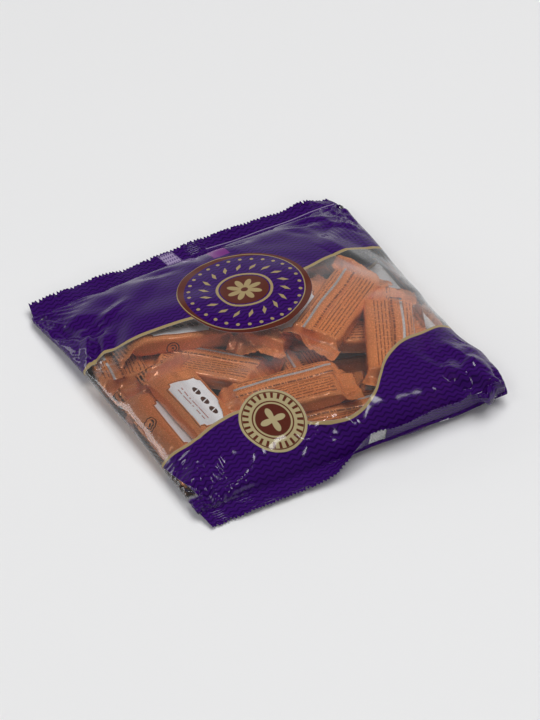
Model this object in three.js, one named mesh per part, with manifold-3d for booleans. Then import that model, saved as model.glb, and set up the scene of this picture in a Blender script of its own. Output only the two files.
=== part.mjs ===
// A clear pillow bag of wrapped chocolate sweets, lying on its back panel with the printed front up.
// It is one closed solid out to the film: the body swells over the sweets, the two crimped end seals stand
// out as fins with a saw-tooth cut, and the lengthwise back seam lies under it.
// X runs along the end seals, Y from the near seal to the far one and Z up, in millimetres. The origin is
// under the middle of the bag's outline, on the surface that it lies on.
import * as THREE from "three";
import { mergeVertices } from "three/addons/utils/BufferGeometryUtils.js";
import Module from "manifold-3d";

const wasm = await Module();
wasm.setup();

// Driving dimensions of the filled body
const bag = {
  farWidth: 197, // from side to side at the far seal
  nearWidth: 189, // and at the near one, which is gathered a little
  skew: 4.2, // the near end has slid this far to the right
  length: 180, // from one seal's root to the other's, along the middle
  farTilt: 3, // the far seal's left end lies this much further out than its middle
  nearTilt: 3.7, // and the near seal's right end
  nearRise: 23, // how far the front stands above the sides, towards the near seal
  farRise: 16, // and towards the far seal, where fewer sweets lie
  shoulder: 3, // how square the front's long profile is
  shoulderDrop: 0.6, // and how steeply it falls to the seals
  brow: 2.8, // the same two for the profile across the bag
  browDrop: 0.66,
  sideRadius: 15, // reach of the curve from the floor up to a side
  endRadius: 18, // and up to a seal
  cellsAcross: 44,
  cellsAlong: 38,
};
// Height above the floor where the bag is widest, and the share by which the right side is higher
const side = { far: 6, middle: 10.5, near: 4.5, lean: 0.16 };

// Two corners are out of true: where, how far they reach along and across, and how they are moved
const corners = [
  { across: 1, along: 0.12, reach: 0.11, lift: 5, push: 6 }, // near right, crushed outwards and up
  { across: -1, along: 1, reach: 0.16, lift: -3, push: 1.5 }, // far left, sagging
];

const seal = {
  width: 11, // from the root to the cut edge
  taper: 2.5, // how much further in each end is at the cut edge
  overlap: 2, // how far the fin reaches back into the body
  thickness: 1,
  teeth: 64,
  toothDepth: 1.4,
  rows: 2,
};
const farFin = { angle: 7, ripple: 5 }; // degrees above the horizontal
const nearFin = { leftAngle: -11, rightAngle: 80, ripple: 3, twistAt: 0, twistWidth: 22 };
const backSeam = { width: 13, height: 1.6, proud: 0.5, length: 168, x: 11, turn: 3.4 };

// Bars that lie against the front and lift it: centre, direction of the long side in degrees, and rise
const bar = { length: 56, width: 28, softness: 9 };
const pressingBars = [
  { x: -83, y: -29, turn: 92, rise: 1.5 },
  { x: -60, y: -27, turn: 93, rise: 2.4 },
  { x: -13, y: -44, turn: -11, rise: 2.6 },
  { x: 44, y: 0, turn: 33, rise: 2.6 },
  { x: 59, y: -34, turn: 64, rise: 2 },
  { x: -41, y: 33, turn: -15, rise: 1.8 },
  { x: 14, y: 20, turn: 38, rise: 1.4 },
];

// Sharp folds in the film: where each runs, how deep it is (negative stands up) and how wide
const creases = [
  { from: [-92, 70], to: [-68, 50], depth: 3.2, width: 8 }, // far left corner, folded in
  { from: [-68, 50], to: [-86, 26], depth: 3.6, width: 7 },
  { from: [-66, 52], to: [-36, 74], depth: -1.4, width: 9 },
  { from: [90, 72], to: [66, 56], depth: 2.4, width: 9 }, // far right corner
  { from: [66, 56], to: [78, 20], depth: -1.4, width: 9 },
  { from: [98, -52], to: [76, -66], depth: 4, width: 8 }, // near right corner, crushed
  { from: [94, -36], to: [72, -54], depth: -2.2, width: 7 },
  { from: [94, -72], to: [64, -74], depth: -2.4, width: 6 },
  { from: [-88, -72], to: [-70, -54], depth: -2.2, width: 7 }, // near left corner
  { from: [-76, -82], to: [-60, -66], depth: 2.6, width: 7 },
  { from: [6, -84], to: [18, -60], depth: 2.8, width: 9 }, // where the near fin turns over
];
const pucker = { height: 1.1, reach: 32, pitch: 17, secondPitch: 10.3 }; // gathers that leave the seals

const radians = THREE.MathUtils.degToRad;
const clamp = THREE.MathUtils.clamp;
const lerp = THREE.MathUtils.lerp;
const smoothstep = THREE.MathUtils.smoothstep;

// A triangle wave between -1 and 1
const zigzag = (turns) => 4 * Math.abs(turns - Math.floor(turns + 0.5)) - 1;

// How strongly a place is moved with a corner, from 0 to 1
function cornerPull(corner, across, along) {
  const gapAcross = (across - corner.across) / 2 / corner.reach;
  const gapAlong = (along - corner.along) / corner.reach;
  return Math.exp(-(gapAcross ** 2) - gapAlong ** 2);
}

// across runs from -1 to 1 over the bag's width, along from 0 at the near seal to 1 at the far one
function planAt(across, along) {
  const middle = bag.skew * ((1 - along) ** 2 - 0.16);
  const half = lerp(bag.nearWidth, bag.farWidth, along) / 2;
  const nearY = -bag.length / 2 - bag.nearTilt * across;
  const farY = bag.length / 2 - bag.farTilt * across;
  let x = middle + half * across;
  for (const corner of corners) x += corner.push * corner.across * cornerPull(corner, across, along);
  return { x, y: lerp(nearY, farY, along) };
}

function sideHeightAt(across, along) {
  const ends = lerp(side.near, side.far, along);
  const filled = Math.sin(Math.PI * along) ** 0.7;
  let height = lerp(ends, side.middle * (1 + side.lean * across), filled);
  for (const corner of corners) height += corner.lift * cornerPull(corner, across, along);
  return height;
}

// How far the front stands above the sides
function crownAt(across, along) {
  const lengthwise = (1 - Math.abs(2 * along - 1) ** bag.shoulder) ** bag.shoulderDrop;
  const crosswise = (1 - Math.abs(across) ** bag.brow) ** bag.browDrop;
  return lerp(bag.nearRise, bag.farRise, along) * lengthwise * crosswise;
}

// The soft lump that a bar raises in the film over it
function lumpAt(x, y) {
  const inside = (distance) => 1 - smoothstep(distance, -bar.softness, bar.softness);
  let height = 0;
  for (const { x: cx, y: cy, turn, rise } of pressingBars) {
    const c = Math.cos(radians(turn));
    const s = Math.sin(radians(turn));
    const lengthwise = Math.abs((x - cx) * c + (y - cy) * s) - bar.length / 2;
    const crosswise = Math.abs((y - cy) * c - (x - cx) * s) - bar.width / 2;
    height = Math.max(height, rise * inside(lengthwise) * inside(crosswise));
  }
  return height;
}

// How far the creases push the film down at a point, each as a V that is shallower at its ends
function creaseAt(x, y) {
  let depth = 0;
  for (const { from, to, depth: most, width } of creases) {
    const [dx, dy] = [to[0] - from[0], to[1] - from[1]];
    const share = clamp(((x - from[0]) * dx + (y - from[1]) * dy) / (dx * dx + dy * dy), 0, 1);
    const distance = Math.hypot(x - from[0] - share * dx, y - from[1] - share * dy);
    const fade = 0.45 + 0.55 * Math.sin(Math.PI * share);
    depth += most * fade * Math.max(0, 1 - distance / width);
  }
  return depth;
}

// Gathers that start at a seal and run out into the panel
function puckerAt(x, along) {
  const reach = (distance) => Math.exp(-distance / pucker.reach) * Math.min(1, distance / 6);
  const waves = zigzag(x / pucker.pitch + 0.3) + 0.6 * zigzag(x / pucker.secondPitch);
  return pucker.height * waves * (reach(bag.length * (1 - along)) + reach(bag.length * along));
}

// Height of the front film above the floor
function frontHeight(across, along) {
  const { x, y } = planAt(across, along);
  const crown = crownAt(across, along);
  const free = smoothstep(crown, 0, 8); // the film is held at its sides and seals
  return sideHeightAt(across, along) + crown + free * (lumpAt(x, y) - creaseAt(x, y) + puckerAt(x, along));
}

// Height of the back film: flat on the floor, and rounded up to the sides and seals
function backHeight(across, along) {
  const sideGap = (1 - Math.abs(across)) * (bag.farWidth / 2);
  const endGap = Math.min(along, 1 - along) * bag.length;
  const roundedTo = (gap, radius) => 1 - Math.sqrt(1 - Math.max(0, 1 - gap / radius) ** 2);
  const curved = (gap, radius) => Math.max(0, 1 - gap / radius) ** 2;
  const lift = roundedTo(sideGap, bag.sideRadius) + curved(endGap, bag.endRadius);
  return sideHeightAt(across, along) * Math.min(1, lift);
}

// A closed solid from a grid of front points and a grid of back points over the same outline
function solidBetween(front, back) {
  const corners = [];
  const triangle = (a, b, c) => {
    if (a.equals(b) || b.equals(c) || c.equals(a)) return;
    for (const p of [a, b, c]) corners.push(p.x, p.y, p.z);
  };
  const quad = (a, b, c, d) => {
    triangle(a, b, c);
    triangle(a, c, d);
  };
  const m = front.length - 1;
  const n = front[0].length - 1;
  for (let j = 0; j < m; j++) {
    for (let i = 0; i < n; i++) {
      quad(front[j][i], front[j][i + 1], front[j + 1][i + 1], front[j + 1][i]);
      quad(back[j][i], back[j + 1][i], back[j + 1][i + 1], back[j][i + 1]);
    }
    quad(front[j][0], front[j + 1][0], back[j + 1][0], back[j][0]);
    quad(front[j][n], back[j][n], back[j + 1][n], front[j + 1][n]);
  }
  for (let i = 0; i < n; i++) {
    quad(front[0][i], back[0][i], back[0][i + 1], front[0][i + 1]);
    quad(front[m][i], front[m][i + 1], back[m][i + 1], back[m][i]);
  }
  return solidFrom(corners);
}

function solidFrom(corners) {
  const geometry = new THREE.BufferGeometry();
  geometry.setAttribute("position", new THREE.Float32BufferAttribute(corners, 3));
  const merged = mergeVertices(geometry, 1e-3);
  return new wasm.Manifold(
    new wasm.Mesh({
      numProp: 3,
      vertProperties: merged.attributes.position.array,
      triVerts: new Uint32Array(merged.index.array),
    }),
  );
}

// Steps from -1 to 1 that crowd towards both ends, where the film turns over
const crowded = (step) => Math.sin(0.47 * Math.PI * (2 * step - 1)) / Math.sin(0.47 * Math.PI);

function makeBody() {
  const front = [];
  const back = [];
  for (let j = 0; j <= bag.cellsAlong; j++) {
    const along = (crowded(j / bag.cellsAlong) + 1) / 2;
    const frontRow = [];
    const backRow = [];
    for (let i = 0; i <= bag.cellsAcross; i++) {
      const across = crowded(i / bag.cellsAcross);
      const { x, y } = planAt(across, along);
      const atSide = i === 0 || i === bag.cellsAcross;
      const low = backHeight(across, along);
      const high = frontHeight(across, along);
      frontRow.push(new THREE.Vector3(x, y, atSide ? high : Math.max(high, low + seal.thickness)));
      backRow.push(atSide ? frontRow[i] : new THREE.Vector3(x, y, low));
    }
    front.push(frontRow);
    back.push(backRow);
  }
  return solidBetween(front, back);
}

// A crimped end seal at along = 0 or 1. angleAt gives the angle above the horizontal, in degrees, at an x.
function makeFin(along, angleAt) {
  const outwards = along > 0.5 ? 1 : -1;
  const cells = 2 * seal.teeth;
  const front = [];
  const back = [];
  for (let j = 0; j <= seal.rows; j++) {
    const frontRow = [];
    const backRow = [];
    for (let i = 0; i <= cells; i++) {
      const across = (2 * i) / cells - 1;
      const { x, y } = planAt(across, along);
      const wander = 0.5 * Math.sin(x / 13 + outwards) + 0.35 * Math.sin(x / 6.1);
      const z = sideHeightAt(across, along) + seal.thickness / 2 + wander;
      const root = new THREE.Vector3(x, y - outwards * seal.overlap, z);
      const angle = radians(angleAt(x));
      const outward = new THREE.Vector3(0, outwards * Math.cos(angle), Math.sin(angle));
      const normal = new THREE.Vector3(0, -outwards * Math.sin(angle), Math.cos(angle));
      const tooth = j === seal.rows && i % 2 ? seal.toothDepth : 0;
      const middle = root.addScaledVector(outward, ((seal.width + seal.overlap) * j) / seal.rows - tooth);
      middle.x -= (across * seal.taper * j) / seal.rows;
      frontRow.push(middle.clone().addScaledVector(normal, seal.thickness / 2));
      backRow.push(middle.clone().addScaledVector(normal, -seal.thickness / 2));
    }
    front.push(frontRow);
    back.push(backRow);
  }
  if (outwards > 0) return solidBetween(front, back);
  return solidBetween(front.reverse(), back.reverse());
}

const farAngle = (x) => farFin.angle + farFin.ripple * Math.sin(x / 21);

// The near fin lies down on the left, and turns over to stand up on the right
function nearAngle(x) {
  const half = nearFin.twistWidth / 2;
  const turned = smoothstep(x, nearFin.twistAt - half, nearFin.twistAt + half);
  return lerp(nearFin.leftAngle, nearFin.rightAngle, turned) + nearFin.ripple * Math.sin(x / 9);
}

function makeBackSeam() {
  const strip = new THREE.BoxGeometry(backSeam.width, backSeam.length, backSeam.height);
  strip.deleteAttribute("normal");
  strip.deleteAttribute("uv");
  strip.rotateZ(radians(backSeam.turn));
  strip.translate(backSeam.x, 0, backSeam.height / 2 - backSeam.proud);
  return solidFrom(Array.from(strip.toNonIndexed().attributes.position.array));
}

// Turns a solid into a three.js mesh, moved so that the origin is under the middle of its outline
function meshFrom(solid, name, material) {
  const { numProp, vertProperties, triVerts, numVert } = solid.getMesh();
  const positions = new Float32Array(numVert * 3);
  for (let i = 0; i < numVert; i++) {
    positions.set(vertProperties.subarray(i * numProp, i * numProp + 3), i * 3);
  }
  const geometry = new THREE.BufferGeometry();
  geometry.setAttribute("position", new THREE.BufferAttribute(positions, 3));
  geometry.setIndex(new THREE.BufferAttribute(triVerts, 1));
  geometry.computeBoundingBox();
  const { min, max } = geometry.boundingBox;
  geometry.translate(-(min.x + max.x) / 2, -(min.y + max.y) / 2, -min.z);
  geometry.computeVertexNormals();
  const mesh = new THREE.Mesh(geometry, material);
  mesh.name = name;
  return mesh;
}

const printedFilm = new THREE.MeshStandardMaterial({ color: 0x3d1a75, roughness: 0.25, metalness: 0 });
const solid = makeBody().add(makeFin(1, farAngle)).add(makeFin(0, nearAngle)).add(makeBackSeam());

const sweetsBag = new THREE.Group();
sweetsBag.add(meshFrom(solid, "bag", printedFilm));

export default sweetsBag;
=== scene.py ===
import math
import bpy
import numpy as np
from mathutils import Euler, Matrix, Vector


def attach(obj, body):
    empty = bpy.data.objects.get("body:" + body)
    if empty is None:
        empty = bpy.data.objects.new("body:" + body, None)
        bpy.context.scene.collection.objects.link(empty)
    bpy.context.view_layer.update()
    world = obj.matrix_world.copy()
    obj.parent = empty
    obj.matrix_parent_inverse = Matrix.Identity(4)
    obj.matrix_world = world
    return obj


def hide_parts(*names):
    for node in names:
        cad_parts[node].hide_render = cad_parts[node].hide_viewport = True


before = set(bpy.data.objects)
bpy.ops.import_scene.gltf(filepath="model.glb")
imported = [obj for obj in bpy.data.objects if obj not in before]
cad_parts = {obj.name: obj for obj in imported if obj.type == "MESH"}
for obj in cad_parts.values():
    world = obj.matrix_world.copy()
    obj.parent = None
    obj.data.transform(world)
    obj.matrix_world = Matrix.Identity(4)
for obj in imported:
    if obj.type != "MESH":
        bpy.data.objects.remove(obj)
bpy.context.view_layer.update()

# A clear pillow bag of wrapped chocolate sweets. Lengths are in millimetres until a mesh is made.
# across runs from -1 to 1 over the bag's width, along from 0 at the near seal to 1 at the far one.
mm = 0.001
printUnit = 100  # millimetres of film in one unit of a print's coordinates
print("stage: frame loaded")


def lerp(a, b, share):
    return a + (b - a) * share


def smoothstep(value, low, high):
    share = np.clip((value - low) / (high - low), 0, 1)
    return share * share * (3 - 2 * share)


def tentAt(x, y, start, end, width):
    # 1 on the middle of the line from start to end, falling straight to 0 at width, and lower at both ends
    endHeight = 0.35
    dx, dy = end[0] - start[0], end[1] - start[1]
    share = np.clip(((x - start[0]) * dx + (y - start[1]) * dy) / (dx * dx + dy * dy), 0, 1)
    distance = np.hypot(x - start[0] - share * dx, y - start[1] - share * dy)
    return (endHeight + 4 * (1 - endHeight) * share * (1 - share)) * np.maximum(0, 1 - distance / width)


facets = {
    "grid": 64,  # random points each way
    "height": 0.6,
    "sway": 0.5,  # how far the grid's lines bend, in cells, so that they don't show as lines
    "ripple": 0.25,
    "swayRun": (1.9, 2.3),
    "rippleRun": (1.3, 1.1),
    "slant": (13, 17),
}


def facetsAt(x, y, cell, seed):
    # heights of about -1 to 1 that run straight between random points, as crumpled film does
    grid, sway, ripple = facets["grid"], facets["sway"], facets["ripple"]
    heights = np.random.default_rng(seed).normal(0, facets["height"], (grid, grid))
    u = x / cell[0] + sway * np.sin(y / cell[1] / facets["swayRun"][0] + seed)
    u = u + ripple * np.sin(x / cell[0] / facets["rippleRun"][0] + y / facets["slant"][0]) + grid / 2
    v = y / cell[1] + sway * np.sin(x / cell[0] / facets["swayRun"][1] + 2 * seed)
    v = v + ripple * np.sin(y / cell[1] / facets["rippleRun"][1] - x / facets["slant"][1]) + grid / 2
    i, j = np.floor(u).astype(int) % (grid - 1), np.floor(v).astype(int) % (grid - 1)
    fu, fv = u - np.floor(u), v - np.floor(v)
    h00, h10, h01, h11 = heights[i, j], heights[i + 1, j], heights[i, j + 1], heights[i + 1, j + 1]
    lower = h00 + fu * (h10 - h00) + fv * (h01 - h00)
    upper = h11 + (1 - fu) * (h01 - h11) + (1 - fv) * (h10 - h11)
    return np.where(fu + fv < 1, lower, upper)


def addMesh(name, points, faces, uv):
    # uv holds a print's coordinates in millimetres, for each corner of each face in turn
    mesh = bpy.data.meshes.new(name)
    mesh.from_pydata((np.asarray(points) * mm).tolist(), [], faces)
    layer = mesh.uv_layers.new(name="flat")
    layer.data.foreach_set("uv", (np.array(uv) / printUnit).astype(np.float32).ravel())
    mesh.polygons.foreach_set("use_smooth", [True] * len(mesh.polygons))
    mesh.update()
    piece = bpy.data.objects.new(name, mesh)
    bpy.context.collection.objects.link(piece)
    return piece


# the filled bag's form, as in the solid that it stands for
bagForm = {
    "farWidth": 197,
    "nearWidth": 189,
    "skew": 4.2,  # how far the near end stands to one side
    "skewShift": 0.16,
    "length": 180,
    "farTilt": 3,
    "nearTilt": 3.7,
    "nearRise": 23,
    "farRise": 16,
    "shoulder": 3,
    "shoulderDrop": 0.6,
    "brow": 2.8,
    "browDrop": 0.66,
    "sideRadius": 15,
    "endRadius": 18,
    "sideFar": 6,
    "sideMiddle": 10.5,
    "sideNear": 4.5,
    "sideLean": 0.16,
    "sideDrop": 0.7,
    "lumpsFrom": 8,  # the rise from which the sweets show in full
    "wander": ((0.5, 13), (0.35, 6.1)),  # height and run of the seals' two waves
    "offset": (-1.44, -1.58, 0.5),  # from the form's own middle to the row's origin
}
outOfTrue = [
    {"across": 1, "along": 0.12, "reach": 0.11, "lift": 5, "push": 6},
    {"across": -1, "along": 1, "reach": 0.16, "lift": -3, "push": 1.5},
]


def cornerPull(corner, across, along):
    gapAcross = (across - corner["across"]) / 2 / corner["reach"]
    gapAlong = (along - corner["along"]) / corner["reach"]
    return np.exp(-(gapAcross**2) - gapAlong**2)


def planAt(across, along):
    f = bagForm
    halfWidth = lerp(f["nearWidth"], f["farWidth"], along) / 2
    x = f["skew"] * ((1 - along) ** 2 - f["skewShift"]) + across * halfWidth
    for corner in outOfTrue:
        x = x + corner["push"] * corner["across"] * cornerPull(corner, across, along)
    nearY = -f["length"] / 2 - f["nearTilt"] * across
    farY = f["length"] / 2 - f["farTilt"] * across
    return x, lerp(nearY, farY, along)


def sideHeightAt(across, along):
    f = bagForm
    filled = np.maximum(np.sin(np.pi * along), 0) ** f["sideDrop"]
    middle = f["sideMiddle"] * (1 + f["sideLean"] * across)
    height = lerp(lerp(f["sideNear"], f["sideFar"], along), middle, filled)
    for corner in outOfTrue:
        height = height + corner["lift"] * cornerPull(corner, across, along)
    return height


def wanderAt(x, outwards):
    # how a seal's line wanders up and down
    (high, longRun), (low, shortRun) = bagForm["wander"]
    return high * np.sin(x / longRun + outwards) + low * np.sin(x / shortRun)


film = {
    "flatWidth": 203.0,  # of the tube laid flat
    "flatLength": 189.4,  # between the seals
    "columns": 112,  # of the front while it settles; the back has as many
    "rows": 104,
    "sealGap": 0.2,  # between front and back where the seals start
    "plainRows": 6,  # at each seal, over which the folds fade out
    "sideCrumple": 0.8,  # how much of it goes sideways at the bag's sides
    "sideReach": 6,
    "halfWidth": 98,  # of the filled bag, as the side's crumpling takes it
    "floorGap": 0.15,
    "rounds": 90,  # of settling
    "fineRounds": 24,  # and of the same with twice as many points each way
    "hold": 0.025,  # how firmly it keeps to the bag's form while it settles
    "backHold": 0.03,
    "air": 0.01,  # how far each round blows it outwards
    "drift": 0.92,  # what is kept of the last round's motion
    "passes": 3,  # over the neighbours in each round
    "bend": 0.05,
    "longBend": 0.08,
    "shear": 0.3,
    "press": 0.8,  # how much it resists being pushed together
}
lump = {"halfLength": 28, "halfWidth": 14, "slope": 9}
barLumps = [  # where the sweets lift the film: x, y, direction of the bar and rise
    (-83, -29, 92, 1.5),
    (-60, -27, 93, 2.4),
    (-13, -44, -11, 2.6),
    (44, 0, 33, 2.6),
    (59, -34, 64, 2),
    (-41, 33, -15, 1.8),
    (14, 20, 38, 1.4),
]
filmFolds = [  # start, end, depth (negative stands up) and width of the larger folds
    ((-92, 70), (-68, 50), 3.2, 8),
    ((-68, 50), (-86, 26), 3.6, 7),
    ((-66, 52), (-36, 74), -1.4, 9),
    ((90, 72), (66, 56), 2.4, 9),
    ((66, 56), (78, 20), -1.4, 9),
    ((98, -52), (76, -66), 4, 8),
    ((94, -36), (72, -54), -2.2, 7),
    ((94, -72), (64, -74), -2.4, 6),
    ((-88, -72), (-70, -54), -2.2, 7),
    ((-76, -82), (-60, -66), 2.6, 7),
    ((6, -84), (18, -60), 2.8, 9),
]
smallFolds = {  # these run out from the seals
    "seed": 7,
    "count": 46,
    "sideways": 92,
    "sealY": 88,
    "inwards": 30,
    "turn": 0.5,
    "aim": 120,  # they point at a place this far off
    "half": (4, 15),
    "depth": 0.6,
    "width": (2.5, 6),
}
shoulder = {
    "reach": 88,
    "points": 9,
    "ridges": ((76, 3.5, -1.2, 10), (-68, 3.5, -0.8, 9)),  # y, swing, depth and width
}


def randomFolds():
    f = smallFolds
    rng = np.random.default_rng(f["seed"])
    folds = []
    for _ in range(f["count"]):
        end = rng.choice([1, -1])
        x = rng.uniform(-f["sideways"], f["sideways"])
        y = end * (f["sealY"] - rng.uniform(0, f["inwards"]))
        turn = rng.normal(0, f["turn"]) - end * math.atan2(x, f["aim"])
        half = rng.uniform(*f["half"])
        dx, dy = math.sin(turn) * half, math.cos(turn) * half
        depth, width = rng.normal(0, f["depth"]), rng.uniform(*f["width"])
        folds.append(((x - dx, y - dy), (x + dx, y + dy), depth, width))
    return folds


def shoulderFolds():
    # a jagged ridge where the top turns down to each seal
    folds = []
    xs = np.linspace(-shoulder["reach"], shoulder["reach"], shoulder["points"])
    for middle, swing, depth, width in shoulder["ridges"]:
        corners = [(x, middle + swing * (1 if i % 2 else -1)) for i, x in enumerate(xs)]
        folds += [(start, end, depth, width) for start, end in zip(corners, corners[1:])]
    return folds


crumpleRanges = [  # cell across and along, height at the seals, at the sides and in the open, seed
    ((13, 17), 0.5, 0.9, 0.15, 5),
    ((8, 26), 1.1, 0.0, 0.0, 3),
    ((6.5, 9), 0.12, 0.35, 0.04, 9),
]
crumpleReach = {"seal": 20, "side": 13}
crushedCorners = [  # place, reach and how much more it is crumpled
    ((84, -72), 26, 1.5),
    ((-86, 60), 20, 0.8),
    ((-80, -76), 18, 0.3),
]


def crumpleAt(x, y, across, along):
    toSeal = np.minimum(along, 1 - along) * bagForm["length"]
    toSide = (1 - np.abs(across)) * bagForm["farWidth"] / 2
    total = np.zeros_like(x)
    extra = 1.0
    for place, reach, more in crushedCorners:
        extra = extra + more * np.exp(-(((x - place[0]) ** 2 + (y - place[1]) ** 2) / reach**2))
    atSeal = np.exp(-((toSeal / crumpleReach["seal"]) ** 2))
    atSide = np.exp(-((toSide / crumpleReach["side"]) ** 2))
    for cell, sealHeight, sideHeight, openHeight, seed in crumpleRanges:
        amount = openHeight + sealHeight * atSeal + sideHeight * atSide
        total = total + amount * extra * facetsAt(x, y, cell, seed)
    return total


def lumpAt(x, y):
    # how high the sweets below push the film, as soft-edged bars
    height = np.zeros_like(x)
    for cx, cy, turn, rise in barLumps:
        c, s = math.cos(math.radians(turn)), math.sin(math.radians(turn))
        lengthwise = np.abs((x - cx) * c + (y - cy) * s) - lump["halfLength"]
        crosswise = np.abs((y - cy) * c - (x - cx) * s) - lump["halfWidth"]
        insideLength = 1 - smoothstep(lengthwise, -lump["slope"], lump["slope"])
        insideWidth = 1 - smoothstep(crosswise, -lump["slope"], lump["slope"])
        height = np.maximum(height, rise * insideLength * insideWidth)
    return height


def frontAt(across, along):
    f = bagForm
    x, y = planAt(across, along)
    lengthwise = np.maximum(1 - np.abs(2 * along - 1) ** f["shoulder"], 0) ** f["shoulderDrop"]
    crosswise = np.maximum(1 - np.abs(across) ** f["brow"], 0) ** f["browDrop"]
    crown = lerp(f["nearRise"], f["farRise"], along) * lengthwise * crosswise
    lumps = smoothstep(crown, 0, f["lumpsFrom"]) * lumpAt(x, y)
    return np.stack([x, y, sideHeightAt(across, along) + crown + lumps], -1)


def backAt(across, along):
    f = bagForm
    x, y = planAt(across, along)
    sideGap = (1 - np.abs(across)) * f["farWidth"] / 2
    endGap = np.minimum(along, 1 - along) * f["length"]
    sideLift = 1 - np.sqrt(1 - np.maximum(0, 1 - sideGap / f["sideRadius"]) ** 2)
    endLift = np.maximum(0, 1 - endGap / f["endRadius"]) ** 2
    return np.stack([x, y, sideHeightAt(across, along) * np.minimum(1, sideLift + endLift)], -1)


def evenSteps(curve, count):
    # places on a curve that are equally far apart along it
    places = np.linspace(-1, 1, 801)
    gaps = np.linalg.norm(np.diff(curve(places), axis=0), axis=1)
    run = np.concatenate([[0], np.cumsum(gaps)])
    return np.interp(np.linspace(0, run[-1], count + 1), run, places)


def restingTube(fine):
    # one closed tube: the front from left to right, then the back from right to left
    nx, ny = film["columns"] * fine, film["rows"] * fine
    frontAcross = evenSteps(lambda s: frontAt(s, np.full_like(s, 0.5)), nx)
    backAcross = evenSteps(lambda s: backAt(s, np.full_like(s, 0.5)), nx)
    frontAlong = evenSteps(lambda s: frontAt(np.zeros_like(s), (s + 1) / 2), ny)
    backAlong = evenSteps(lambda s: backAt(np.zeros_like(s), (s + 1) / 2), ny)
    along = ((frontAlong + backAlong) / 2 + 1) / 2
    across, rows = np.meshgrid(frontAcross, along)
    front = frontAt(across, rows)
    back = backAt(*np.meshgrid(backAcross, along))
    front[:, 0] = back[:, 0] = (front[:, 0] + back[:, 0]) / 2
    front[:, -1] = back[:, -1] = (front[:, -1] + back[:, -1]) / 2
    for row, outwards in ((0, -1), (-1, 1)):
        front[row, :, 2] += wanderAt(front[row, :, 0], outwards)
        back[row] = front[row] - [0, 0, film["sealGap"]]
    x, y = front[..., 0].copy(), front[..., 1].copy()
    inner = np.zeros(front.shape[:2])
    fromEnd = np.minimum(np.arange(ny + 1), ny - np.arange(ny + 1)) / (film["plainRows"] * fine)
    inner[:, 1:-1] = np.minimum(1, fromEnd)[:, None]
    for start, end, depth, width in filmFolds + randomFolds() + shoulderFolds():
        front[..., 2] -= depth * inner * tentAt(x, y, start, end, width)
    crumple = crumpleAt(x, y, across, rows) * inner
    front[..., 2] += crumple
    fromSide = (1 - np.abs(across)) * film["halfWidth"] / film["sideReach"]
    side = np.sign(across) * np.exp(-(fromSide ** 2))
    front[..., 0] += film["sideCrumple"] * side * crumple
    return np.concatenate([front, back[:, -2:0:-1]], 1).astype(np.float32)


def settleFilm(form, start, fine, rounds):
    # moves the points until each is as far from its neighbours as on the flat film
    rows, columns = form.shape[:2]
    stepX = film["flatWidth"] / film["columns"] / fine
    stepY = film["flatLength"] / film["rows"] / fine
    loose = np.ones((rows, 1, 1), np.float32)
    loose[0] = loose[-1] = 0
    hold = np.full((1, columns, 1), film["hold"], np.float32)
    hold[:, film["columns"] * fine + 1:] = film["backHold"]
    points = start.copy()
    before = start.copy()

    def pull(a, b, looseA, looseB, rest, strength):
        gap = b - a
        length = np.sqrt(np.einsum("ijk,ijk->ij", gap, gap))[..., None] + 1e-6
        error = length - rest
        strength = np.where(error < 0, strength * film["press"], strength)
        move = gap * (error * strength / (length * np.maximum(looseA + looseB, 1e-6)))
        a += move * looseA
        b -= move * looseB

    def pullAcross(step, strength):
        for turn in (0, step):
            rolled = np.roll(points, -turn, 1).reshape(rows, -1, 2, step, 3)
            a = rolled[:, :, 0].reshape(rows, -1, 3).copy()
            b = rolled[:, :, 1].reshape(rows, -1, 3).copy()
            pull(a, b, loose, loose, stepX * step, strength)
            rolled = np.stack([a.reshape(rows, -1, step, 3), b.reshape(rows, -1, step, 3)], 2)
            points[:] = np.roll(rolled.reshape(rows, columns, 3), turn, 1)

    def pullAlong(step, strength):
        for first in range(2 * step):
            count = len(points[first + step::2 * step])
            a = points[first::2 * step][:count]
            b = points[first + step::2 * step]
            looseA = loose[first::2 * step][:count]
            looseB = loose[first + step::2 * step]
            pull(a, b, looseA, looseB, stepY * step, strength)

    def pullDiagonals():
        for first in (0, 1):
            b = points[first + 1::2]
            a = points[first::2][:len(b)]
            looseB = loose[first + 1::2]
            looseA = loose[first::2][:len(b)]
            for turn in (-1, 1):
                rolled = np.roll(b, turn, 1)
                pull(a, rolled, looseA, looseB, math.hypot(stepX, stepY), film["shear"])
                b[:] = np.roll(rolled, -turn, 1)

    for _ in range(rounds):
        drift = (points - before) * film["drift"]
        before = points.copy()
        points += drift * loose
        sideways = np.roll(points, -1, 1) - np.roll(points, 1, 1)
        lengthways = np.zeros_like(points)
        lengthways[1:-1] = points[2:] - points[:-2]
        normal = np.cross(sideways, lengthways)
        normal /= np.linalg.norm(normal, axis=-1, keepdims=True) + 1e-9
        points += (normal * film["air"] + (form - points) * hold) * loose
        for _ in range(film["passes"]):
            pullAcross(1, 1.0)
            pullAlong(1, 1.0)
            pullDiagonals()
        pullAcross(2, film["bend"])
        pullAlong(2, film["bend"])
        pullAcross(4, film["longBend"])
        pullAlong(4, film["longBend"])
        points[..., 2] = np.maximum(points[..., 2], film["floorGap"])
    return points


def twiceAsFine(grid):
    # the grid with a point put between every two, round the tube and along it
    rows, columns = grid.shape[:2]
    wide = np.empty((rows, 2 * columns, 3), np.float32)
    wide[:, 0::2] = grid
    wide[:, 1::2] = (grid + np.roll(grid, -1, 1)) / 2
    tall = np.empty((2 * rows - 1, 2 * columns, 3), np.float32)
    tall[0::2] = wide
    tall[1::2] = (wide[:-1] + wide[1:]) / 2
    return tall


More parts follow.
